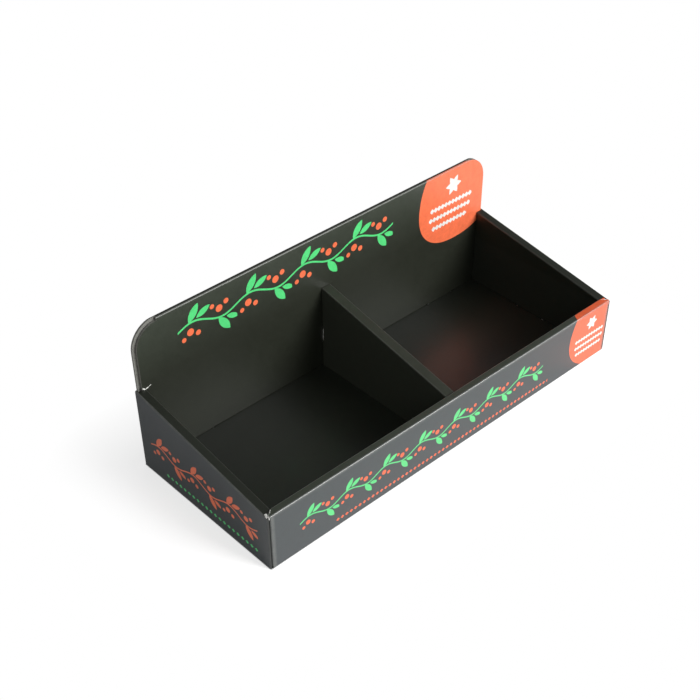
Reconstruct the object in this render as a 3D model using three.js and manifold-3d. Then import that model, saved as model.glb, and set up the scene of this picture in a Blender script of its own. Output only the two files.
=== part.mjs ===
// Counter display tray: one folded board blank with a raised header, and a folded divider
// that stands in it. Millimetres, +Z up. The origin is at the middle of the underside,
// +X runs along the front, +Y to the header.
import * as THREE from 'three';
import { mergeVertices } from 'three/addons/utils/BufferGeometryUtils.js';
import Module from 'manifold-3d';

const wasm = await Module();
wasm.setup();

// Overall sizes, measured over the outer faces of the folded board
const trayLength = 287;
const trayDepth = 116;
const headerTop = 100;
const frontTop = 40;
const sideTopFront = 38.6;
const sideTopBack = 57;
const cradleHeight = 10;

// Board
const board = 1.2;
const foldRadius = 0.8;
const foldSteps = 4;
const seam = 0.4;

// Flat rims where a wall rolls over, measured over both layers
const frontRim = 5.2;
const sideRim = 6;
const headerRim = 2.9;

// Corners: the side panel stops short of the front and back faces, and the flaps turn inside it
const sideSetback = 0.7;
const flapLength = 38;
const flapSlack = 0.6;

// Header outline
const headerCorner = 17;
const headerLayerStep = 2;
const rimStop = 1;
const cornerSteps = 12;

// Divider
const dividerRim = 7.2;
const dividerTopFront = 39.4;
const dividerTopBack = 61.5;
const dividerClearance = 0.3;
const dividerPlace = 0;

// Tabs at both ends of the divider, in slots in the front and back inner walls
const tabFoot = 20;
const tabHeight = 12;
const tabTaper = 0.8;
const tabTipGap = 0.3;
const slotClearance = 0.3;

// Locking tabs at the foot of each inner wall, in slots in the base
const lockWidth = 24;
const lockTaper = 2;
const lockRecess = 0.2;
const lockFromCorner = 32;

// Colours
const printedBlack = 0x2c2f31;
const dividerBlack = 0x26282a;

// Faces and levels that several panels share
const sideX = trayLength / 2;
const frontY = -trayDepth / 2;
const backY = trayDepth / 2;
const frontInnerY = frontY + frontRim;
const headerFaceY = backY - headerRim;
const sideInnerX = sideX - sideRim;
const panelEndX = sideX - board - seam;
const headerFaceEndX = panelEndX - headerLayerStep;
const wallFoot = board + seam;
const cutMargin = 20;
const weldDistance = 1e-5;

function heading(from, to) {
  return to.clone().sub(from).normalize();
}

function leftOf(direction) {
  return new THREE.Vector2(-direction.y, direction.x);
}

// Section of a board along its printed face, given as corners where every fold turns left.
// The printed side bends round a small radius and the inside of each fold is a sharp score.
function foldedSection(corners) {
  const printed = [];
  const inside = [];
  const last = corners.length - 1;
  corners.forEach((corner, index) => {
    if (index === 0 || index === last) {
      const along = index === 0 ? heading(corner, corners[1]) : heading(corners[last - 1], corner);
      printed.push(corner.clone());
      inside.push(corner.clone().addScaledVector(leftOf(along), board));
      return;
    }
    const arrive = heading(corners[index - 1], corner);
    const leave = heading(corner, corners[index + 1]);
    const turn = Math.acos(THREE.MathUtils.clamp(arrive.dot(leave), -1, 1));
    const setback = Math.tan(turn / 2);
    const centre = corner.clone().addScaledVector(arrive, -foldRadius * setback);
    centre.addScaledVector(leftOf(arrive), foldRadius);
    const start = leftOf(arrive).negate().angle();
    for (let step = 0; step <= foldSteps; step += 1) {
      const angle = start + (turn * step) / foldSteps;
      const spoke = new THREE.Vector2(Math.cos(angle), Math.sin(angle));
      printed.push(centre.clone().addScaledVector(spoke, foldRadius));
    }
    const score = corner.clone().addScaledVector(arrive, -board * setback);
    inside.push(score.addScaledVector(leftOf(arrive), board));
  });
  return new THREE.Shape([...printed, ...inside.reverse()]);
}

// Corners of a wall that comes up, rolls over its rim towards the left and goes down again
function rolledWall(rightFace, leftFace, top, foot) {
  return points([rightFace, foot], [rightFace, top], [leftFace, top], [leftFace, foot]);
}

function points(...pairs) {
  return pairs.map(([a, b]) => new THREE.Vector2(a, b));
}

function rectangle(lowA, highA, lowB, highB) {
  return new THREE.Shape(points([lowA, lowB], [highA, lowB], [highA, highB], [lowA, highB]));
}

function extruded(shape, depth, basis, origin) {
  const geometry = new THREE.ExtrudeGeometry(shape, { depth, bevelEnabled: false });
  geometry.applyMatrix4(new THREE.Matrix4().makeBasis(...basis).setPosition(origin));
  return geometry;
}

const unitX = new THREE.Vector3(1, 0, 0);
const unitY = new THREE.Vector3(0, 1, 0);
const unitZ = new THREE.Vector3(0, 0, 1);

// A section drawn in Y and Z, along X
function alongX(shape, from, to) {
  return extruded(shape, to - from, [unitY, unitZ, unitX], new THREE.Vector3(from, 0, 0));
}

// A section drawn in X and Z, along Y
function alongY(shape, from, to) {
  const basis = [unitX, unitZ, unitY.clone().negate()];
  return extruded(shape, to - from, basis, new THREE.Vector3(0, to, 0));
}

// A section drawn in X and Y, along Z
function alongZ(shape, from, to) {
  return extruded(shape, to - from, [unitX, unitY, unitZ], new THREE.Vector3(0, 0, from));
}

// Lifts a piece that runs along Y so that its top rises at an even slope from one place on
function sloped(geometry, rise, run, from) {
  const slope = rise / run;
  const lift = new THREE.Matrix4().set(
    1, 0, 0, 0,
    0, 1, 0, 0,
    0, slope, 1, -slope * from,
    0, 0, 0, 1,
  );
  return geometry.applyMatrix4(lift);
}

function slopedLikeSides(geometry) {
  return sloped(geometry, sideTopBack - sideTopFront, trayDepth, frontY);
}

function solid(geometry) {
  geometry.deleteAttribute('normal');
  geometry.deleteAttribute('uv');
  const merged = mergeVertices(geometry, weldDistance);
  return new wasm.Manifold(new wasm.Mesh({
    numProp: 3,
    vertProperties: new Float32Array(merged.attributes.position.array),
    triVerts: new Uint32Array(merged.index.array),
  }));
}

function block(lowX, highX, lowY, highY, lowZ, highZ) {
  return solid(alongZ(rectangle(lowX, highX, lowY, highY), lowZ, highZ));
}

// A block that lies past a face on the side that `side` names, out to well beyond the tray
function outward(side, fromX, lowY, highY, lowZ, highZ) {
  const toX = side * (sideX + cutMargin);
  return block(Math.min(side * fromX, toX), Math.max(side * fromX, toX), lowY, highY, lowZ, highZ);
}

function joined(solids) {
  return solids.reduce((sum, next) => sum.add(next));
}

function mesh(name, body, color) {
  const { vertProperties, triVerts } = body.getMesh();
  const geometry = new THREE.BufferGeometry();
  geometry.setAttribute('position', new THREE.BufferAttribute(new Float32Array(vertProperties), 3));
  geometry.setIndex(new THREE.BufferAttribute(new Uint32Array(triVerts), 1));
  geometry.computeVertexNormals();
  const material = new THREE.MeshStandardMaterial({ color, roughness: 0.45, metalness: 0 });
  const part = new THREE.Mesh(geometry, material);
  part.name = name;
  return part;
}

// The gap at a corner of the rims, cut on the line from the outer corner to the inner one.
// What is cut away lies on the front wall's side of the line, or on the side wall's.
function mitre(side, cutsSideWall) {
  const outer = new THREE.Vector2(side * sideX, frontY);
  const inner = new THREE.Vector2(side * sideInnerX, frontInnerY);
  const along = heading(outer, inner);
  const across = leftOf(along).multiplyScalar(-side);
  const reach = cutsSideWall ? -cutMargin : cutMargin;
  const edge = (cutsSideWall ? 0.5 : -0.5) * seam;
  const corner = (end, extra, offset) => (
    end.clone().addScaledVector(along, extra).addScaledVector(across, offset)
  );
  return solid(alongZ(new THREE.Shape([
    corner(outer, -cutMargin, edge),
    corner(inner, cutMargin, edge),
    corner(inner, cutMargin, reach),
    corner(outer, -cutMargin, reach),
  ]), wallFoot, headerTop));
}

// What is cut off a top corner of the header, outside an arc round `centreX`, `centreZ`
function cornerRound(side, centreX, centreZ, radius, lowY, highY) {
  const outline = new THREE.Shape();
  outline.moveTo(side * centreX, centreZ + radius + cutMargin);
  outline.lineTo(side * centreX, centreZ + radius);
  for (let step = 1; step <= cornerSteps; step += 1) {
    const angle = (Math.PI / 2) * (1 - step / cornerSteps);
    outline.lineTo(side * (centreX + radius * Math.cos(angle)), centreZ + radius * Math.sin(angle));
  }
  outline.lineTo(side * (centreX + radius + cutMargin), centreZ);
  outline.lineTo(side * (centreX + radius + cutMargin), centreZ + radius + cutMargin);
  return solid(alongY(outline, lowY, highY));
}

// Front wall, base, back wall and header: one run of board from the front wall's inner edge
// to the lower edge of the header's face. The two layers of the header end together on the
// right, and step at the left, where the face falls short. Below its shoulders the face is
// narrower, so that it clears the dust flaps.
function frontToBack() {
  const section = foldedSection(points(
    [frontInnerY, wallFoot],
    [frontInnerY, frontTop],
    [frontY, frontTop],
    [frontY, 0],
    [backY, 0],
    [backY, headerTop],
    [headerFaceY, headerTop],
    [headerFaceY, wallFoot],
  ));
  let run = solid(alongX(section, -panelEndX, panelEndX));
  const wrapStart = panelEndX - foldRadius;
  for (const side of [-1, 1]) {
    run = run.subtract(mitre(side, false).intersect(
      block(-sideX, sideX, frontY, 0, wallFoot, headerTop),
    ));
    run = run.subtract(outward(
      side, wrapStart, frontY - seam, frontY + board + seam, wallFoot, frontFlapTop(),
    ));
    run = run.subtract(outward(side, wrapStart, backY - board, backY + seam, wallFoot, backFlapTop()));
    const betweenLayers = backY - board - (headerRim - 2 * board) / 2;
    const layerStep = side < 0 ? headerLayerStep : 0;
    const shoulder = side < 0 ? headerTop + seam : backFlapTop() + seam;
    run = run.subtract(outward(side, headerFaceEndX, 0, betweenLayers, wallFoot, shoulder));
    const centreX = panelEndX - headerCorner;
    const centreZ = headerTop - headerCorner;
    run = run.subtract(cornerRound(side, centreX, centreZ, headerCorner, betweenLayers, backY + cutMargin));
    run = run.subtract(
      cornerRound(side, centreX, centreZ, headerCorner - layerStep, 0, betweenLayers),
    );
    run = run.subtract(outward(
      side, centreX - rimStop, headerFaceY + board, backY - board, headerTop - 2 * board, headerTop + seam,
    ));
  }
  return run;
}

function frontFlapTop() {
  return sideTopFront - board - flapSlack;
}

function backFlapTop() {
  return sideTopBack - board - flapSlack;
}

// The front or back panel again, with the flaps that it turns into inside the side walls
function wrap(faceY, inwards, top) {
  const flapEnd = faceY + inwards * flapLength;
  const corners = points(
    [-panelEndX, flapEnd],
    [-panelEndX, faceY],
    [panelEndX, faceY],
    [panelEndX, flapEnd],
  );
  const section = foldedSection(inwards > 0 ? corners : corners.reverse());
  const panel = solid(alongZ(section, wallFoot, top));
  const roof = alongX(rectangle(frontY, backY, frontFlapTop(), headerTop), -sideX, sideX);
  return panel.subtract(solid(slopedLikeSides(roof)));
}

// Base with the lower part of both side panels, folded up along the tray's long way
function cradle() {
  const section = foldedSection(points(
    [-sideX, cradleHeight],
    [-sideX, 0],
    [sideX, 0],
    [sideX, cradleHeight],
  ));
  return solid(alongY(section, frontY + sideSetback, backY - sideSetback));
}

// A side wall rolled over its sloping rim. The outer layer runs from corner to corner, and the
// rim and the inner layer stop at the mitre and at the face of the header.
function sideWall(side) {
  const faces = [side * sideX, side * sideInnerX].sort((a, b) => b - a);
  const section = foldedSection(rolledWall(faces[0], faces[1], sideTopFront, -sideTopBack));
  const tall = solid(slopedLikeSides(alongY(section, frontY + sideSetback, backY - sideSetback)));
  const under = block(-sideX - seam, sideX + seam, frontY, backY, -2 * headerTop, wallFoot);
  const whole = tall.subtract(under);
  const outerLayer = outward(side, sideX - board, frontY, backY, 0, headerTop);
  const behindHeader = block(-sideX, sideX, headerFaceY - seam, backY, 0, headerTop);
  const inner = whole.subtract(outerLayer).subtract(mitre(side, true)).subtract(behindHeader);
  return whole.intersect(outerLayer).add(inner);
}

// Both panels of the divider, as the faces between which each layer of board lies
const dividerLayers = [-1, 1].map((side) => {
  const outer = dividerPlace + (side * dividerRim) / 2;
  return [outer, outer - side * board].sort((a, b) => a - b);
});

// One slot or tab outline through the wall behind `faceY`; `ease` widens it on all sides
function tabOutline(faceY, outwards, reach, ease) {
  const start = faceY - outwards * (dividerClearance + board);
  const end = faceY + outwards * reach;
  const taper = ease > 0 ? 0 : tabTaper;
  return new THREE.Shape(points(
    [start, tabFoot - ease],
    [end, tabFoot - ease + taper],
    [end, tabFoot + tabHeight + ease - taper],
    [start, tabFoot + tabHeight + ease],
  ));
}

function dividerSlots() {
  const reach = board + seam / 2;
  const outlines = [
    tabOutline(frontInnerY, -1, reach, slotClearance),
    tabOutline(headerFaceY, 1, reach, slotClearance),
  ];
  return joined(dividerLayers.flatMap(([low, high]) => outlines.map((outline) => (
    solid(alongX(outline, low - slotClearance, high + slotClearance))
  ))));
}

// Every inner wall that locks into the base: the way it runs, the faces it lies between, and
// where along it the tabs are
function lockingWalls() {
  const nearCorner = sideInnerX - lockFromCorner;
  const across = [-nearCorner, nearCorner];
  const lengthwise = [(frontInnerY + headerFaceY) / 2];
  return [
    { extrude: alongY, from: frontInnerY - board, to: frontInnerY, centres: across },
    { extrude: alongY, from: headerFaceY, to: headerFaceY + board, centres: across },
    { extrude: alongX, from: -sideInnerX - board, to: -sideInnerX, centres: lengthwise },
    { extrude: alongX, from: sideInnerX, to: sideInnerX + board, centres: lengthwise },
  ];
}

function lockingTabs() {
  const root = lockWidth / 2;
  const tip = root - lockTaper;
  return lockingWalls().flatMap(({ extrude, from, to, centres }) => centres.map((centre) => {
    const outline = points(
      [centre - tip, lockRecess],
      [centre + tip, lockRecess],
      [centre + root, wallFoot + board],
      [centre - root, wallFoot + board],
    );
    return solid(extrude(new THREE.Shape(outline), from, to));
  }));
}

function lockingSlots() {
  const half = lockWidth / 2 + slotClearance;
  return joined(lockingWalls().flatMap(({ extrude, from, to, centres }) => centres.map((centre) => {
    const outline = rectangle(centre - half, centre + half, -board, wallFoot);
    return solid(extrude(outline, from - slotClearance, to + slotClearance));
  })));
}

function displayTray() {
  const folded = joined([
    frontToBack(),
    wrap(frontY, 1, frontFlapTop()),
    wrap(backY, -1, backFlapTop()),
    cradle(),
    sideWall(-1),
    sideWall(1),
  ]);
  return joined([folded.subtract(dividerSlots()).subtract(lockingSlots()), ...lockingTabs()]);
}

// The divider is folded over its rim like the side walls, and both its panels stand on the base
function divider() {
  const from = frontInnerY + dividerClearance;
  const to = headerFaceY - dividerClearance;
  const half = dividerRim / 2;
  const corners = rolledWall(dividerPlace + half, dividerPlace - half, dividerTopFront, -dividerTopBack);
  const rolled = alongY(foldedSection(corners), from, to);
  const tall = solid(sloped(rolled, dividerTopBack - dividerTopFront, to - from, from));
  const standing = tall.subtract(block(-sideX, sideX, frontY, backY, -2 * headerTop, board));
  const reach = headerRim - board - tabTipGap;
  const tabs = dividerLayers.flatMap(([low, high]) => [
    solid(alongX(tabOutline(frontInnerY, -1, reach, 0), low, high)),
    solid(alongX(tabOutline(headerFaceY, 1, reach, 0), low, high)),
  ]);
  return joined([standing, ...tabs]);
}

const counterDisplay = new THREE.Group();
counterDisplay.add(mesh('display_tray', displayTray(), printedBlack));
counterDisplay.add(mesh('divider', divider(), dividerBlack));

export default counterDisplay;
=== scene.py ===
import math

import bpy
from mathutils import Matrix, Vector


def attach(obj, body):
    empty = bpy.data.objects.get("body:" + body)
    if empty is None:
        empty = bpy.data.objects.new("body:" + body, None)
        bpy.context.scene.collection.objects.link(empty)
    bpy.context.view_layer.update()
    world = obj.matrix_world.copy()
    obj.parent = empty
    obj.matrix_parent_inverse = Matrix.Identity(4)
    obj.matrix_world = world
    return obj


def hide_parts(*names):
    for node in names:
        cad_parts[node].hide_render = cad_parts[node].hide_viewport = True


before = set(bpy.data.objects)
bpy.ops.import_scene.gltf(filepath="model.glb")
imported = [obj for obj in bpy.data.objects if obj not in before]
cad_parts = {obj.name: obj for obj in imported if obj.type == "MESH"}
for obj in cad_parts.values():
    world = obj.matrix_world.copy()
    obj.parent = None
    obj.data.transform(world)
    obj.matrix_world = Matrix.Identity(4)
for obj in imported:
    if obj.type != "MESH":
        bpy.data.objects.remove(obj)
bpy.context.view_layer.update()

MM = 0.001

# Faces of the folded board, in millimetres, as the solids have them
BOARD = 1.2
SIDE_X = 143.5
SIDE_INNER_X = 137.5
FRONT_Y = -58.0
FRONT_INNER_Y = -52.8
FRONT_TOP = 40.0
BACK_Y = 58.0
HEADER_FACE_Y = 55.1
HEADER_TOP = 100.0

# How far the colours of the outside, the front with its bends, and the front rim reach
OUTSIDE_DEPTH = 0.6
FRONT_DEPTH = 0.9
RIM_END_Y = FRONT_INNER_Y - 0.35
PRINT_END_X = 142.05
NOTCH_X = 141.9

# Ink and board colours, linear. Some are lighter or darker copies of an ink that paint light or shade
BLACK_INK = (0.020, 0.0225, 0.0155, 1.0)
INSIDE_SHADE_INK = (0.015, 0.0175, 0.0125, 1.0)
OUTSIDE_SHEEN_INK = (0.030, 0.038, 0.041, 1.0)
RIM_SHADE_INK = (0.0115, 0.0140, 0.0090, 1.0)
PAINTED_LIGHT_INK = (0.038, 0.046, 0.033, 1.0)
DIVIDER_INK = (0.029, 0.0325, 0.0235, 1.0)
WORN_AND_HIGHLIGHT_INK = (0.17, 0.175, 0.16, 1.0)
ORANGE_INK = (0.86, 0.17, 0.07, 1.0)
FRONT_ORANGE_SHADED_INK = (0.80, 0.12, 0.035, 1.0)
GREEN_INK = (0.09, 0.66, 0.20, 1.0)
WHITE_INK = (0.80, 0.78, 0.74, 1.0)
RAW_BOARD = (0.24, 0.24, 0.215, 1.0)
RAW_SHADE = (0.085, 0.085, 0.076, 1.0)
NOTCH_PAINTED_SHADE = (0.018, 0.02, 0.018, 1.0)
TORN_PAPER = (0.86, 0.86, 0.82, 1.0)
TORN_SHADE = (0.45, 0.45, 0.41, 1.0)
WHITE = (1.0, 1.0, 1.0, 1.0)
FLOOR_GREY = (0.88, 0.88, 0.88, 1.0)


# Values that a material works out at each point

class Value:
    """A number, colour or place in a node tree. Sums of numbers are written as sums."""

    def __init__(self, socket):
        self.socket = socket
        self.tree = socket.id_data

    def __add__(self, other):
        return maths("ADD", self, other)

    def __sub__(self, other):
        return maths("SUBTRACT", self, other)

    def __rsub__(self, other):
        return maths("SUBTRACT", other, self)

    def __mul__(self, other):
        return maths("MULTIPLY", self, other)

    def __truediv__(self, other):
        return maths("DIVIDE", self, other)

    def __rtruediv__(self, other):
        return maths("DIVIDE", other, self)

    def __pow__(self, other):
        return maths("POWER", self, other)

    def __abs__(self):
        return maths("ABSOLUTE", self)

    def __gt__(self, other):
        return maths("GREATER_THAN", self, other)

    def __lt__(self, other):
        return maths("LESS_THAN", self, other)

    __radd__ = __add__


def wire(value, socket):
    if isinstance(value, Value):
        value.tree.links.new(value.socket, socket)
    else:
        socket.default_value = value


def node(tree, kind, inputs=None, **settings):
    made = tree.nodes.new(kind)
    for name, setting in settings.items():
        setattr(made, name, setting)
    for name, value in (inputs or {}).items():
        wire(value, made.inputs[name])
    return made


def output(made, name=0):
    return Value(made.outputs[name])


def maths(operation, *values):
    tree = next(value.tree for value in values if isinstance(value, Value))
    return output(node(tree, "ShaderNodeMath", dict(enumerate(values)), operation=operation))


def clamp_one(value):
    return output(node(value.tree, "ShaderNodeClamp", {"Value": value}))


def ramp(value, start, end):
    return clamp_one((value - start) / (end - start))


def between(value, low, high):
    return (value > low) * (value < high)


def union(masks):
    total = masks[0]
    for mask in masks[1:]:
        total = maths("MAXIMUM", total, mask)
    return total


def straight_line(across, up):
    """The distance that goes with two others at a right angle."""
    return maths("SQRT", across * across + up * up)


def blend(amount, under, over):
    """A colour that turns from the one under into the one over as the amount goes from 0 to 1."""
    inputs = {0: amount, 6: under, 7: over}
    return output(node(amount.tree, "ShaderNodeMix", inputs, data_type="RGBA", clamp_factor=True), 2)


def noise(where, scale, detail, roughness):
    inputs = {"Vector": where, "Scale": scale, "Detail": detail, "Roughness": roughness}
    return output(node(where.tree, "ShaderNodeTexNoise", inputs), "Fac")


def coordinates(where):
    parts = node(where.tree, "ShaderNodeSeparateXYZ", {"Vector": where})
    return output(parts, "X"), output(parts, "Y"), output(parts, "Z")


def effect(name, inputs, outputs):
    """An empty node group: its tree, the values it is given, and the sockets of what it gives back."""
    tree = bpy.data.node_groups.new(name, "ShaderNodeTree")
    for label, start in inputs.items():
        kind = "NodeSocketVector" if start is None else "NodeSocketFloat"
        made = tree.interface.new_socket(name=label, in_out="INPUT", socket_type=kind)
        if start is not None:
            made.default_value = start
    for label in outputs:
        tree.interface.new_socket(name=label, in_out="OUTPUT", socket_type="NodeSocketFloat")
    entry = tree.nodes.new("NodeGroupInput")
    given = {label: output(entry, label) for label in inputs}
    return tree, given, tree.nodes.new("NodeGroupOutput").inputs


def use(tree, group, inputs):
    """What a node group gives back for these inputs, by name."""
    made = node(tree, "ShaderNodeGroup", inputs, node_tree=group)
    return {socket.name: Value(socket) for socket in made.outputs}


# Printed shapes, in millimetres

INK_EDGE = 0.16
STEM_WAVE = 3.0
HALF_STEM = 0.62
BEAD_SLOPE = 0.9

# Middle along and up, turn, half length and half width of each leaf in one repeat of the sprig
SPRIG_LEAVES = (
    (11.0, 8.2, 0.95, 6.2, 2.5),
    (17.5, 6.4, 0.42, 5.2, 2.0),
    (31.0, -8.2, -0.95, 6.2, 2.5),
    (37.0, -6.0, -0.38, 4.4, 1.7),
)

# Middle along and up, and radius, of each berry in one repeat
SPRIG_BERRIES = (
    (8.2, -3.0, 2.3), (13.2, -5.6, 1.7), (3.6, -6.2, 1.5),
    (28.2, 3.0, 2.3), (33.2, 5.6, 1.7), (23.6, 6.2, 1.5),
)
SPRIG_REPEAT = 40.0


def ink_inside(distance):
    """1 where a distance from an outline is below nothing, with a thin soft edge."""
    return clamp_one(0.5 - distance / INK_EDGE)


def leaf_group():
    """A pointed leaf round a middle point, turned, as the overlap of two discs."""
    tree, given, result = effect(
        "printed_leaf",
        {"Along": 0, "Up": 0, "Middle Along": 0, "Middle Up": 0,
         "Turn": 0, "Half Length": 5, "Half Width": 2},
        ["Mask"],
    )
    along = given["Along"] - given["Middle Along"]
    up = given["Up"] - given["Middle Up"]
    cosine, sine = maths("COSINE", given["Turn"]), maths("SINE", given["Turn"])
    lengthwise = along * cosine + up * sine
    across = up * cosine - along * sine
    half_length, half_width = given["Half Length"], given["Half Width"]
    radius = (half_length * half_length + half_width * half_width) / (half_width * 2.0)
    reach = abs(across) + (radius - half_width)
    wire(ink_inside(straight_line(lengthwise, reach) - radius), result["Mask"])
    return tree


def berry_group():
    """A disc round a middle point."""
    tree, given, result = effect(
        "printed_berry",
        {"Along": 0, "Up": 0, "Middle Along": 0, "Middle Up": 0, "Radius": 1},
        ["Mask"],
    )
    along = given["Along"] - given["Middle Along"]
    up = given["Up"] - given["Middle Up"]
    wire(ink_inside(straight_line(along, up) - given["Radius"]), result["Mask"])
    return tree


def sprig_group(leaf, berry):
    """A running sprig: a waving stem with leaves above and below it in turn, and berries between them."""
    tree, given, result = effect(
        "printed_sprig",
        {"Along": 0, "Up": 0, "Start": 0, "Level": 0, "Repeats": 4, "Scale": 1},
        ["Stem And Leaves", "Berries"],
    )
    along = (given["Along"] - given["Start"]) / given["Scale"]
    up = (given["Up"] - given["Level"]) / given["Scale"]
    turns = along / SPRIG_REPEAT
    local = maths("FRACT", turns) * SPRIG_REPEAT
    wave = maths("SINE", turns * math.tau) * STEM_WAVE
    green = [ink_inside(abs(up - wave) - HALF_STEM)]
    for middle, level, turn, half_length, half_width in SPRIG_LEAVES:
        green.append(use(tree, leaf, {
            "Along": local, "Up": up, "Middle Along": middle, "Middle Up": level,
            "Turn": turn, "Half Length": half_length, "Half Width": half_width,
        })["Mask"])
    orange = [
        use(tree, berry, {
            "Along": local, "Up": up, "Middle Along": middle, "Middle Up": level, "Radius": radius,
        })["Mask"]
        for middle, level, radius in SPRIG_BERRIES
    ]
    window = between(turns, 0.0, given["Repeats"])
    wire(union(green) * window, result["Stem And Leaves"])
    wire(union(orange) * window, result["Berries"])
    return tree


def bead_row_group():
    """A row of small pointed beads."""
    tree, given, result = effect(
        "printed_bead_row",
        {"Along": 0, "Up": 0, "Start": 0, "End": 10, "Level": 0, "Pitch": 3, "Half Height": 1},
        ["Mask"],
    )
    turns = (given["Along"] - given["Start"]) / given["Pitch"]
    local = abs(maths("FRACT", turns) - 0.5) * given["Pitch"]
    up = abs(given["Up"] - given["Level"])
    shape = ink_inside(local * BEAD_SLOPE + up - given["Half Height"])
    wire(shape * between(given["Along"], given["Start"], given["End"]), result["Mask"])
    return tree


def patch_group():
    """A patch in a corner: inside a leaning, squared disc whose middle lies near that corner."""
    tree, given, result = effect(
        "printed_patch",
        {"Along": 0, "Up": 0, "Middle Along": 0, "Middle Up": 0,
         "Reach Along": 30, "Reach Up": 30, "Squareness": 2.6, "Lean": 0},
        ["Mask"],
    )
    up = given["Up"] - given["Middle Up"]
    along = given["Along"] - given["Middle Along"] - up * given["Lean"]
    flat = (abs(along) / given["Reach Along"]) ** given["Squareness"]
    tall = (abs(up) / given["Reach Up"]) ** given["Squareness"]
    share = (flat + tall) ** (1.0 / given["Squareness"])
    wire(ink_inside((share - 1.0) * given["Reach Along"]), result["Mask"])
    return tree


# Surface effects that every board finish shares

FLUTE_PITCH = 1.9
GRAIN_HEIGHT = 0.25
FLUTE_HEIGHT = 0.018
WAVE_HEIGHT = 6.0
# Where the folds' paling, rubbed ink and painted highlight, starts and how sharply it breaks up
WEAR_START = 0.1
WEAR_CONTRAST = 1.9


def board_surface_group():
    """Fine fibre grain, faint ribs of the flutes below the paper, and slow waves of the board."""
    tree, given, result = effect("board_surface", {"Place": None}, ["Grain", "Mottle", "Cloud", "Height"])
    where = given["Place"]
    grain = noise(where, scale=2.6, detail=3.0, roughness=0.6)
    mottle = noise(where, scale=0.28, detail=3.0, roughness=0.6)
    cloud = noise(where, scale=0.018, detail=2.0, roughness=0.5)
    x, y, _ = coordinates(where)
    ribs = maths("SINE", (x + y) * (math.tau / FLUTE_PITCH))
    wire(grain, result["Grain"])
    wire(mottle, result["Mottle"])
    wire(cloud, result["Cloud"])
    wire(grain * GRAIN_HEIGHT + ribs * FLUTE_HEIGHT + cloud * WAVE_HEIGHT, result["Height"])
    return tree


def fold_wear_and_highlight_group():
    """How far the folds are paled, partly by rubbed ink and partly by painted highlight, broken up along
    them.
    """
    tree, given, result = effect("fold_wear_and_highlight", {"Place": None, "Fold": 0, "Amount": 0.6}, ["Wear"])
    patches = noise(given["Place"], scale=0.22, detail=4.0, roughness=0.65)
    flecks = noise(given["Place"], scale=1.6, detail=2.0, roughness=0.6)
    broken = clamp_one(((patches + flecks) * 0.5 - WEAR_START) * WEAR_CONTRAST)
    wire(broken * given["Fold"] * given["Amount"], result["Wear"])
    return tree


leaf = leaf_group()
sprig = sprig_group(leaf, berry_group())
bead_row = bead_row_group()
patch = patch_group()
board_surface = board_surface_group()
fold_wear_and_highlight = fold_wear_and_highlight_group()


# Print on each panel

def star(along, up, middle, level, half_length, half_width):
    """A six-pointed star of three leaves."""
    return union([
        use(along.tree, leaf, {
            "Along": along, "Up": up, "Middle Along": middle, "Middle Up": level,
            "Turn": turn, "Half Length": half_length, "Half Width": half_width,
        })["Mask"]
        for turn in (0.0, math.pi / 3, -math.pi / 3)
    ])


def beads(along, up, level, start, end, pitch, half_height):
    return use(along.tree, bead_row, {
        "Along": along, "Up": up, "Start": start, "End": end,
        "Level": level, "Pitch": pitch, "Half Height": half_height,
    })["Mask"]


def vine(along, up, start, level, repeats, scale):
    """Masks of the stem with its leaves, and of the berries."""
    masks = use(along.tree, sprig, {
        "Along": along, "Up": up, "Start": start, "Level": level, "Repeats": repeats, "Scale": scale,
    })
    return masks["Stem And Leaves"], masks["Berries"]


def header_print(x, y, z):
    """Masks of orange, green and white ink on the face of the header."""
    here = between(y, HEADER_FACE_Y - 0.2, HEADER_FACE_Y + 1.0) * (z > FRONT_TOP)
    here = here * between(x, -PRINT_END_X, PRINT_END_X)
    corner = use(x.tree, patch, {
        "Along": x, "Up": z, "Middle Along": 121.9, "Middle Up": 83.4,
        "Reach Along": 39.8, "Reach Up": 37.5, "Squareness": 2.24, "Lean": 0.15,
    })["Mask"]
    leaves, berries = vine(x, z, start=-112.0, level=82.0, repeats=4.0, scale=1.06)
    whites = [star(x, z, middle=113.0, level=87.5, half_length=7.2, half_width=2.5)]
    for level, start, end in ((75.0, 92.0, 131.0), (68.0, 91.0, 130.0), (61.0, 94.0, 127.0)):
        whites.append(beads(x, z, level, start, end, pitch=3.25, half_height=2.0))
    return here * union([corner, berries]), here * leaves, here * union(whites)


def front_print(x, y, z):
    """Masks of orange, green and white ink on the front panel, its orange corner also on the rim."""
    here = (y < RIM_END_Y) * between(x, -PRINT_END_X, PRINT_END_X)
    corner = use(x.tree, patch, {
        "Along": x, "Up": z + (y - FRONT_Y), "Middle Along": 160.0, "Middle Up": 33.8,
        "Reach Along": 52.6, "Reach Up": 38.6, "Squareness": 2.17, "Lean": 0.35,
    })["Mask"]
    leaves, berries = vine(x, z, start=-122.0, level=20.5, repeats=7.0, scale=0.72)
    whites = [star(x, z, middle=126.0, level=30.5, half_length=5.2, half_width=1.9)]
    for level, start, end in ((21.0, 111.0, 139.0), (15.8, 111.0, 139.0), (10.6, 112.5, 138.0)):
        whites.append(beads(x, z, level, start, end, pitch=2.55, half_height=1.5))
    fine_line = beads(x, z, level=5.2, start=-96.0, end=86.0, pitch=3.4, half_height=1.2)
    return here * union([corner, berries, fine_line]), here * leaves, here * union(whites)


def side_print(x, y, z):
    """Masks of orange and green ink on the left side panel, read from the back corner to the front one."""
    here = x < -SIDE_X + OUTSIDE_DEPTH
    along = 0.0 - y
    leaves, berries = vine(along, z, start=-48.0, level=23.0, repeats=3.0, scale=0.8)
    line = beads(along, z, level=7.0, start=-36.0, end=48.0, pitch=4.0, half_height=1.3)
    return here * union([berries, leaves]), here * line


# Zones of the tray whose ink differs, some of them for painted light and shade

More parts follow.
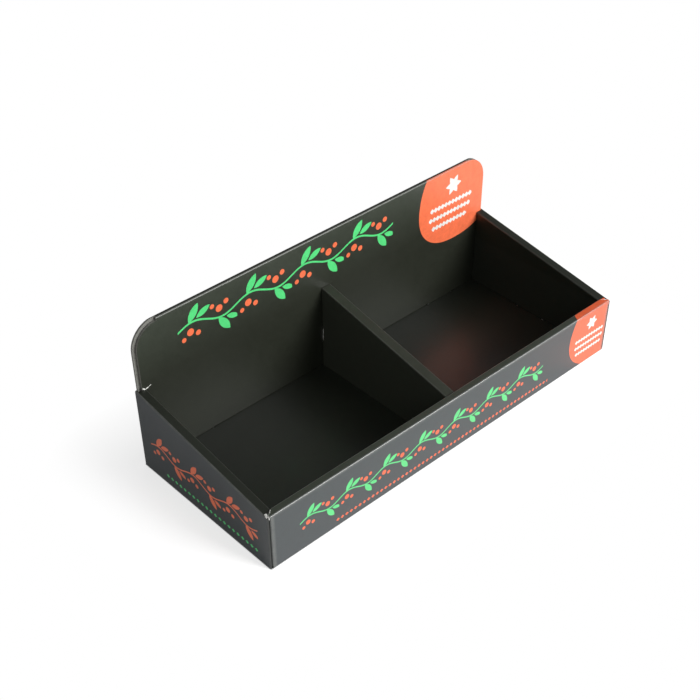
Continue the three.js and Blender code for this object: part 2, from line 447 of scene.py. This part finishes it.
# Where the front's bends pale, partly by rubbed ink and partly by painted highlight
BEND_START_X = 138.8
BEND_FULL_X = 140.2
UPRIGHT_WEAR_AND_HIGHLIGHT = 0.95
TOP_WEAR_AND_HIGHLIGHT = 0.65
PAINTED_LIGHT_FROM_Z = 60.0


def outer_faces(x, y):
    """The outsides of all four walls, which get a painted reflection."""
    sides = abs(x) > SIDE_X - OUTSIDE_DEPTH
    return union([y < FRONT_Y + FRONT_DEPTH, sides, y > BACK_Y - OUTSIDE_DEPTH])


def compartments(x, y, z):
    """The floor and the inner walls, up to the front rim, which get painted shade."""
    margin = 0.3
    here = between(x, -SIDE_INNER_X - margin, SIDE_INNER_X + margin)
    here = here * between(y, FRONT_INNER_Y - margin, HEADER_FACE_Y - margin)
    return here * (z < FRONT_TOP - 2.0) * (z > BOARD / 2.0)


def side_rims(x, y, z):
    """The flat tops of the two side walls, in front of the header, which get painted shade."""
    return between(abs(x), SIDE_INNER_X - 0.1, SIDE_X) * (y < HEADER_FACE_Y - 0.5) * (z > FRONT_TOP - 2.5)


def front_rim(x, y):
    """The flat top of the front wall, up to its mitres, which gets painted light."""
    mitre_slope = (FRONT_INNER_Y - FRONT_Y) / (SIDE_X - SIDE_INNER_X)
    before_mitre = (y - FRONT_Y) < (SIDE_X - abs(x)) * mitre_slope
    return before_mitre * between(y, FRONT_Y + FRONT_DEPTH, RIM_END_Y)


def painted_light_top(y, z):
    """Painted light: the header's face gets a lighter ink towards its top."""
    return between(y, HEADER_FACE_Y - 0.3, HEADER_FACE_Y + 0.6) * ramp(z, PAINTED_LIGHT_FROM_Z, HEADER_TOP)


def corner_notch(x, y):
    """The side panels' cut ends and the notches between them and the front panel's bends, which get painted
    shade for the gap there.
    """
    return (abs(x) > NOTCH_X) * (y < FRONT_Y + FRONT_DEPTH)


def front_bends(x, y, z):
    """How worn the front panel is, with painted highlight, where it bends into its two upright corners and
    over its rim.
    """
    upright = ramp(abs(x), BEND_START_X, BEND_FULL_X) * (abs(x) < NOTCH_X) * UPRIGHT_WEAR_AND_HIGHLIGHT
    top = ramp(z, FRONT_TOP - 2.0, FRONT_TOP - 1.0) * TOP_WEAR_AND_HIGHLIGHT
    return (y < FRONT_Y + FRONT_DEPTH) * union([upright, top])


# Materials

# How far grain and mottle shade the ink, and how far mottle, slow waves and wear dull it
PLAIN_SHADE = 0.62
GRAIN_SHADE = 0.34
MOTTLE_SHADE = 0.42
MOTTLE_DULLS = 0.1
WAVE_DULLS = 0.12
WEAR_DULLS = 0.15
PLAIN_VARNISH = 0.25
FRONT_VARNISH = 1.0


def new_material(name):
    material = bpy.data.materials.new(name)
    material.use_nodes = True
    tree = material.node_tree
    tree.nodes.clear()
    surface = tree.nodes.new("ShaderNodeOutputMaterial").inputs["Surface"]
    shader = tree.nodes.new("ShaderNodeBsdfPrincipled")
    wire(output(shader), surface)
    place = output(tree.nodes.new("ShaderNodeTexCoord"), "Object")
    scaled = node(tree, "ShaderNodeVectorMath", {0: place}, operation="SCALE")
    wire(1.0 / MM, scaled.inputs["Scale"])
    return material, shader.inputs, output(scaled)


def raise_surface(shader, height, strength, distance):
    inputs = {"Height": height, "Strength": strength, "Distance": distance}
    wire(output(node(height.tree, "ShaderNodeBump", inputs)), shader["Normal"])


def finish_board(shader, where, colour, roughness, wear_and_highlight_amount, bends=None):
    """Grain, waves, and rubbed folds with painted highlight, over a board's colour."""
    tree = where.tree
    surface = use(tree, board_surface, {"Place": where})
    fold = output(node(tree, "ShaderNodeAttribute", attribute_name="fold"), "Fac")
    if bends is not None:
        fold = union([fold, bends])
    wear_and_highlight = use(tree, fold_wear_and_highlight, {"Place": where, "Fold": fold, "Amount": wear_and_highlight_amount})["Wear"]
    shade = PLAIN_SHADE + (surface["Grain"] * GRAIN_SHADE + surface["Mottle"] * MOTTLE_SHADE)
    shaded = node(tree, "ShaderNodeVectorMath", {0: colour}, operation="SCALE")
    wire(shade, shaded.inputs["Scale"])
    # Painted highlight and real rubbing: the folds turn towards a pale grey ink.
    wire(blend(wear_and_highlight, output(shaded), WORN_AND_HIGHLIGHT_INK), shader["Base Color"])
    dull = roughness + surface["Mottle"] * MOTTLE_DULLS + (surface["Cloud"] - 0.5) * WAVE_DULLS
    wire(dull + wear_and_highlight * WEAR_DULLS, shader["Roughness"])
    raise_surface(shader, surface["Height"], strength=0.35, distance=0.0001)


def printed_board():
    material, shader, where = new_material("printed_board")
    x, y, z = coordinates(where)
    notch = corner_notch(x, y)
    # Painted shade: the compartments get a darker copy of the black ink.
    colour = blend(compartments(x, y, z), BLACK_INK, INSIDE_SHADE_INK)
    # Painted shade: the side rims get a darker copy of the black ink.
    colour = blend(side_rims(x, y, z), colour, RIM_SHADE_INK)
    # Painted reflection: the outsides of the walls get a lighter, bluish copy of the black ink for the
    # sheen of the surroundings.
    colour = blend(outer_faces(x, y), colour, OUTSIDE_SHEEN_INK)
    # Painted light: the upper header face and the front rim get a lighter copy of the black ink.
    colour = blend(union([painted_light_top(y, z), front_rim(x, y)]), colour, PAINTED_LIGHT_INK)
    # Painted shade: near-black on the side panels' cut ends and the notches at the front corners, for the
    # shade in the gap.
    colour = blend(notch, colour, NOTCH_PAINTED_SHADE)
    header_orange, header_green, header_white = header_print(x, y, z)
    front_orange, front_green, front_white = front_print(x, y, z)
    side_orange, side_green = side_print(x, y, z)
    colour = blend(union([header_orange, side_orange]), colour, ORANGE_INK)
    # Painted shade: the front panel's orange is a darker copy of the orange ink, held down against the
    # stronger light on that face.
    colour = blend(front_orange, colour, FRONT_ORANGE_SHADED_INK)
    colour = blend(union([header_green, front_green, side_green]), colour, GREEN_INK)
    colour = blend(union([header_white, front_white]), colour, WHITE_INK)
    finish_board(shader, where, colour, roughness=0.33, wear_and_highlight_amount=0.6, bends=front_bends(x, y, z))
    varnished = (y < FRONT_Y + FRONT_DEPTH) - notch
    wire(PLAIN_VARNISH + varnished * (FRONT_VARNISH - PLAIN_VARNISH), shader["Coat Weight"])
    wire(0.24, shader["Coat Roughness"])
    wire(0.5, shader["Specular IOR Level"])
    return material


def divider_board():
    material, shader, where = new_material("divider_board")
    ink = node(where.tree, "ShaderNodeRGB")
    wire(DIVIDER_INK, ink.outputs[0])
    finish_board(shader, where, output(ink), roughness=0.45, wear_and_highlight_amount=0.2)
    wire(0.4, shader["Specular IOR Level"])
    return material


def cut_edge():
    """Raw edge of the board where the blank was cut: pale fibres, with painted shade in the hollows of the
    flutes.
    """
    material, shader, where = new_material("cut_edge")
    fibres = noise(where, scale=1.3, detail=4.0, roughness=0.7)
    hollows = output(node(where.tree, "ShaderNodeTexVoronoi", {"Vector": where, "Scale": 0.55}), "Distance")
    # Painted shade: spots of a deeper raw tone stand for the shade inside the hollows of the flutes.
    hollow_shade = clamp_one((0.42 - hollows) * 3.0)
    mottled = blend(fibres * 0.8, RAW_BOARD, RAW_SHADE)
    wire(blend(hollow_shade * 0.6, mottled, RAW_SHADE), shader["Base Color"])
    wire(0.85, shader["Roughness"])
    raise_surface(shader, fibres, strength=0.6, distance=0.0002)
    return material


def torn_paper():
    """Torn white fibre, paler than a clean cut."""
    material, shader, where = new_material("torn_paper")
    fibres = noise(where, scale=2.2, detail=5.0, roughness=0.75)
    wire(blend(ramp(fibres, 0.45, 0.75), TORN_PAPER, TORN_SHADE), shader["Base Color"])
    wire(0.95, shader["Roughness"])
    raise_surface(shader, fibres, strength=0.8, distance=0.0003)
    return material


# Folded pieces

MITRE_NORMAL = Vector((FRONT_INNER_Y - FRONT_Y, SIDE_X - SIDE_INNER_X)).normalized()

# How much of a face's normal lies along one axis where the face counts as turned that way
FACING = 0.9
SIDEWAYS = 0.1
SLANTING = 0.05
ALONG_SLOT = 0.3
SQUARE_TO_MITRE = 0.9995

# How far a face lies above the base's top, between the header's layers, and from a tab's root
ABOVE_BASE_Z = 1.6
LAYER_DEPTH = 1.1
TAB_MARGIN = 0.2

# Where the header's rounded ends and the divider's slots begin and end
HEADER_END_X = 120.0
HEADER_END_Z = 20.0
SLOT_HALF_WIDTH = 6.0
SLOT_LOW_Z = 15.0
SLOT_HIGH_Z = 35.0

# The most that one axis takes of the normal of a fold's facets. The sloping rim of each piece has more
TRAY_FLATNESS = 0.985
DIVIDER_FLATNESS = 0.972
# How much of the folds' paling, rubbed ink and painted highlight, the inner edges of the side rims get
INNER_EDGE_WEAR_AND_HIGHLIGHT = 0.2
MERGE_DISTANCE = 1e-6
FLAT_WITHIN = math.radians(0.4)
SMOOTH_UP_TO = math.radians(30)


def is_tray_cut(centre, normal):
    """Whether a face of the tray is a cut edge of the board, by its place and the way it faces."""
    x, y, z = abs(centre.x), centre.y, centre.z
    nx, ny, nz = abs(normal.x), abs(normal.y), abs(normal.z)
    upright = nz < SIDEWAYS and z > ABOVE_BASE_Z
    mitre = y < FRONT_INNER_Y and upright and Vector((nx, ny)).dot(MITRE_NORMAL) > SQUARE_TO_MITRE
    header_end = y > HEADER_FACE_Y and z > HEADER_END_Z and x > HEADER_END_X
    header_edge = header_end and ny < SIDEWAYS and nx > SLANTING
    between_layers = HEADER_FACE_Y + LAYER_DEPTH < y < BACK_Y - LAYER_DEPTH
    unprinted_side = between_layers and ny > FACING and z > FRONT_TOP
    at_slot = x < SLOT_HALF_WIDTH and SLOT_LOW_Z < z < SLOT_HIGH_Z
    slot = at_slot and (y < FRONT_INNER_Y or y > HEADER_FACE_Y) and ny < ALONG_SLOT
    return mitre or header_edge or unprinted_side or slot


def is_divider_cut(centre, normal):
    """Whether a face of the divider is a cut edge: its two ends, and its tabs all round."""
    end = abs(normal.y) > FACING
    tab = centre.y < FRONT_INNER_Y + TAB_MARGIN or centre.y > HEADER_FACE_Y - TAB_MARGIN
    return end or tab


def folded_piece(node_name, piece_name, board, is_cut, flatness):
    """The folded solid with its faces joined up, smooth folds, and its cut edges marked."""
    piece = bpy.data.objects.new(piece_name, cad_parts[node_name].data.copy())
    bpy.context.scene.collection.objects.link(piece)
    bpy.ops.object.select_all(action="DESELECT")
    piece.select_set(True)
    bpy.context.view_layer.objects.active = piece
    bpy.ops.object.mode_set(mode="EDIT")
    bpy.ops.mesh.select_all(action="SELECT")
    bpy.ops.mesh.remove_doubles(threshold=MERGE_DISTANCE)
    bpy.ops.mesh.dissolve_limited(angle_limit=FLAT_WITHIN)
    bpy.ops.object.mode_set(mode="OBJECT")
    mesh = piece.data
    mesh.materials.clear()
    mesh.materials.append(board)
    mesh.materials.append(raw_edge)
    fold = mesh.attributes.new("fold", "FLOAT", "FACE")
    for face in mesh.polygons:
        centre = face.center / MM
        cut = is_cut(centre, face.normal)
        face.material_index = 1 if cut else 0
        bent = max(abs(part) for part in face.normal) < flatness and centre.z > 1.5
        if bent and not cut:
            # The inner edges of the side rims get less of the painted highlight.
            inner_edge = SIDE_INNER_X - 0.2 < abs(centre.x) < SIDE_INNER_X + 1.0
            less_lit_inner_edge = inner_edge and centre.y < HEADER_FACE_Y - 0.2
            fold.data[face.index].value = INNER_EDGE_WEAR_AND_HIGHLIGHT if less_lit_inner_edge else 1.0
    bpy.ops.object.shade_smooth_by_angle(angle=SMOOTH_UP_TO)
    modifier = piece.modifiers.new("even_shading", "WEIGHTED_NORMAL")
    modifier.keep_sharp = True
    modifier.weight = 100
    bpy.ops.object.modifier_apply(modifier=modifier.name)
    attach(piece, "root")
    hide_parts(node_name)


raw_edge = cut_edge()
torn_fibre = torn_paper()
folded_piece("display_tray", "folded_tray", printed_board(), is_tray_cut, TRAY_FLATNESS)
folded_piece("divider", "folded_divider", divider_board(), is_divider_cut, DIVIDER_FLATNESS)


# Small frayed places, where the paper has lifted at the ends of a cut

STEPS_PER_STRETCH = 3


def frayed_strip(name, points, width, thickness, seed):
    """A crumpled strip of torn paper fibre through the points given, in millimetres."""
    first = Vector(points[0]) * MM
    bpy.ops.object.select_all(action="DESELECT")
    bpy.ops.mesh.primitive_circle_add(vertices=6, radius=0.5 * MM, fill_type="NGON", location=first)
    strip = bpy.context.object
    strip.name = name
    heading = (Vector(points[1]) - Vector(points[0])).normalized()
    turn = Vector((0.0, 0.0, 1.0)).rotation_difference(heading)
    for vertex in strip.data.vertices:
        vertex.co = turn @ Vector((vertex.co.x * width, vertex.co.y * thickness, 0.0))
    bpy.ops.object.mode_set(mode="EDIT")
    bpy.ops.mesh.select_all(action="SELECT")
    for start, end in zip(points, points[1:]):
        step = (Vector(end) - Vector(start)) * MM / STEPS_PER_STRETCH
        for _ in range(STEPS_PER_STRETCH):
            bpy.ops.mesh.extrude_region_move(TRANSFORM_OT_translate={"value": step})
    bpy.ops.mesh.select_all(action="SELECT")
    bpy.ops.mesh.normals_make_consistent(inside=False)
    bpy.ops.transform.vertex_random(offset=0.3 * MM, uniform=0.6, normal=0.4, seed=seed)
    bpy.ops.object.mode_set(mode="OBJECT")
    rounding = strip.modifiers.new("rounding", "SUBSURF")
    rounding.levels = 2
    rounding.render_levels = 2
    bpy.ops.object.modifier_apply(modifier=rounding.name)
    bpy.ops.object.transform_apply(location=True, rotation=True, scale=True)
    bpy.ops.object.shade_smooth()
    strip.data.materials.append(torn_fibre)
    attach(strip, "root")


for side, mark, seed in ((-1, "left", 4), (1, "right", 6)):
    frayed_strip(
        "frayed_rim_" + mark,
        [(side * 138.2, -53.6, 39.9), (side * 140.6, -55.6, 39.7),
         (side * 142.4, -57.2, 39.4), (side * 142.2, -57.6, 37.6)],
        width=0.9, thickness=0.6, seed=seed,
    )
frayed_strip(
    "frayed_panel_end",
    [(-142.0, -53.9, 39.3), (-142.3, -55.4, 39.0), (-142.5, -56.6, 38.6)],
    width=2.0, thickness=1.1, seed=3,
)
frayed_strip(
    "lifted_liner",
    [(-140.0, 54.6, 58.4), (-138.6, 54.6, 56.6), (-136.4, 54.8, 57.1), (-134.0, 54.9, 57.6)],
    width=1.2, thickness=0.55, seed=8,
)
# A pale sliver of torn fibre on the divider's left face at its back end.
frayed_strip(
    "pale_sliver_at_tab",
    [(-3.7, 54.3, 30.5), (-3.75, 54.4, 26.0), (-3.7, 54.3, 20.8)],
    width=0.8, thickness=0.5, seed=4,
)


# Floor, light and camera

FLOOR_SIZE = 12.0
FLOOR_DROP = 0.00005
FLOOR_GLOW = 0.6
FADE_START = 0.006
FADE_END = 0.06
ROOM_STRENGTH = 0.19


def mix_shaders(amount, first, second):
    return output(node(amount.tree, "ShaderNodeMixShader", {0: amount, 1: first, 2: second}))


def is_camera_ray(tree):
    return output(tree.nodes.new("ShaderNodeLightPath"), "Is Camera Ray")


def pale_floor():
    """A pale floor that takes the tray's shadow near it and is plain white to the camera farther off."""
    bpy.ops.mesh.primitive_plane_add(size=FLOOR_SIZE, location=(0.0, 0.0, -FLOOR_DROP))
    floor = bpy.context.object
    floor.name = "pale_floor"
    material = bpy.data.materials.new("pale_floor")
    material.use_nodes = True
    tree = material.node_tree
    tree.nodes.clear()
    surface = tree.nodes.new("ShaderNodeOutputMaterial").inputs["Surface"]
    x, y, _ = coordinates(output(tree.nodes.new("ShaderNodeTexCoord"), "Object"))
    side, back = SIDE_X * MM, BACK_Y * MM
    open_floor = 1.0 - between(x, -side, side) * between(y, -back, back)
    seen = is_camera_ray(tree)
    glow = seen * open_floor * FLOOR_GLOW
    lit = node(tree, "ShaderNodeAddShader", {
        0: output(node(tree, "ShaderNodeBsdfDiffuse", {"Color": FLOOR_GREY})),
        1: output(node(tree, "ShaderNodeEmission", {"Color": WHITE, "Strength": glow})),
    })
    beside = maths("MAXIMUM", abs(x) - side, 0.0)
    beyond = maths("MAXIMUM", abs(y) - back, 0.0)
    far = ramp(straight_line(beside, beyond), FADE_START, FADE_END) * seen
    white = output(node(tree, "ShaderNodeEmission", {"Color": WHITE, "Strength": 1.0}))
    wire(mix_shaders(far, output(lit), white), surface)
    floor.data.materials.append(material)


def pale_world():
    """A dim even room that the camera sees as white."""
    world = bpy.data.worlds.new("pale_room")
    bpy.context.scene.world = world
    world.use_nodes = True
    tree = world.node_tree
    tree.nodes.clear()
    surface = tree.nodes.new("ShaderNodeOutputWorld").inputs["Surface"]
    room = output(node(tree, "ShaderNodeBackground", {"Color": WHITE, "Strength": ROOM_STRENGTH}))
    seen = output(node(tree, "ShaderNodeBackground", {"Color": WHITE, "Strength": 1.0}))
    wire(mix_shaders(is_camera_ray(tree), room, seen), surface)


def softbox(name, position, width, height, power):
    """A rectangular lamp that faces the tray."""
    light = bpy.data.lights.new(name, "AREA")
    light.shape = "RECTANGLE"
    light.size = width
    light.size_y = height
    light.energy = power
    lamp = bpy.data.objects.new(name, light)
    bpy.context.scene.collection.objects.link(lamp)
    lamp.location = position
    towards_tray = Vector((0.0, 0.0, 0.03)) - Vector(position)
    lamp.rotation_euler = towards_tray.to_track_quat("-Z", "Y").to_euler()


def photo_camera():
    """The camera fitted to the tray's corners and edges in the photo."""
    azimuth, elevation, roll = (math.radians(angle) for angle in (-43.019, 41.085, -0.119))
    level = Vector((math.cos(azimuth), math.sin(azimuth), 0.0))
    forward = Vector((
        -math.sin(azimuth) * math.cos(elevation),
        math.cos(azimuth) * math.cos(elevation),
        -math.sin(elevation),
    ))
    right = level * math.cos(roll) + level.cross(forward) * math.sin(roll)
    up = right.cross(forward)
    data = bpy.data.cameras.new("photo_view")
    data.sensor_width = 36.0
    data.lens = 64.251
    data.shift_x = -0.0072
    data.shift_y = 0.1001
    data.clip_end = 50.0
    view = bpy.data.objects.new("photo_view", data)
    bpy.context.scene.collection.objects.link(view)
    turn = Matrix((right, up, -forward)).transposed().to_4x4()
    view.matrix_world = Matrix.Translation(Vector((-422.8, -424.2, 507.9)) * MM) @ turn
    bpy.context.scene.camera = view


pale_floor()
pale_world()
softbox("key", (0.8, -1.6, 0.85), width=1.2, height=0.9, power=48.0)
softbox("fill", (-1.3, -0.7, 0.9), width=1.2, height=1.0, power=5.0)
photo_camera()

scene = bpy.context.scene
scene.view_settings.view_transform = "Standard"
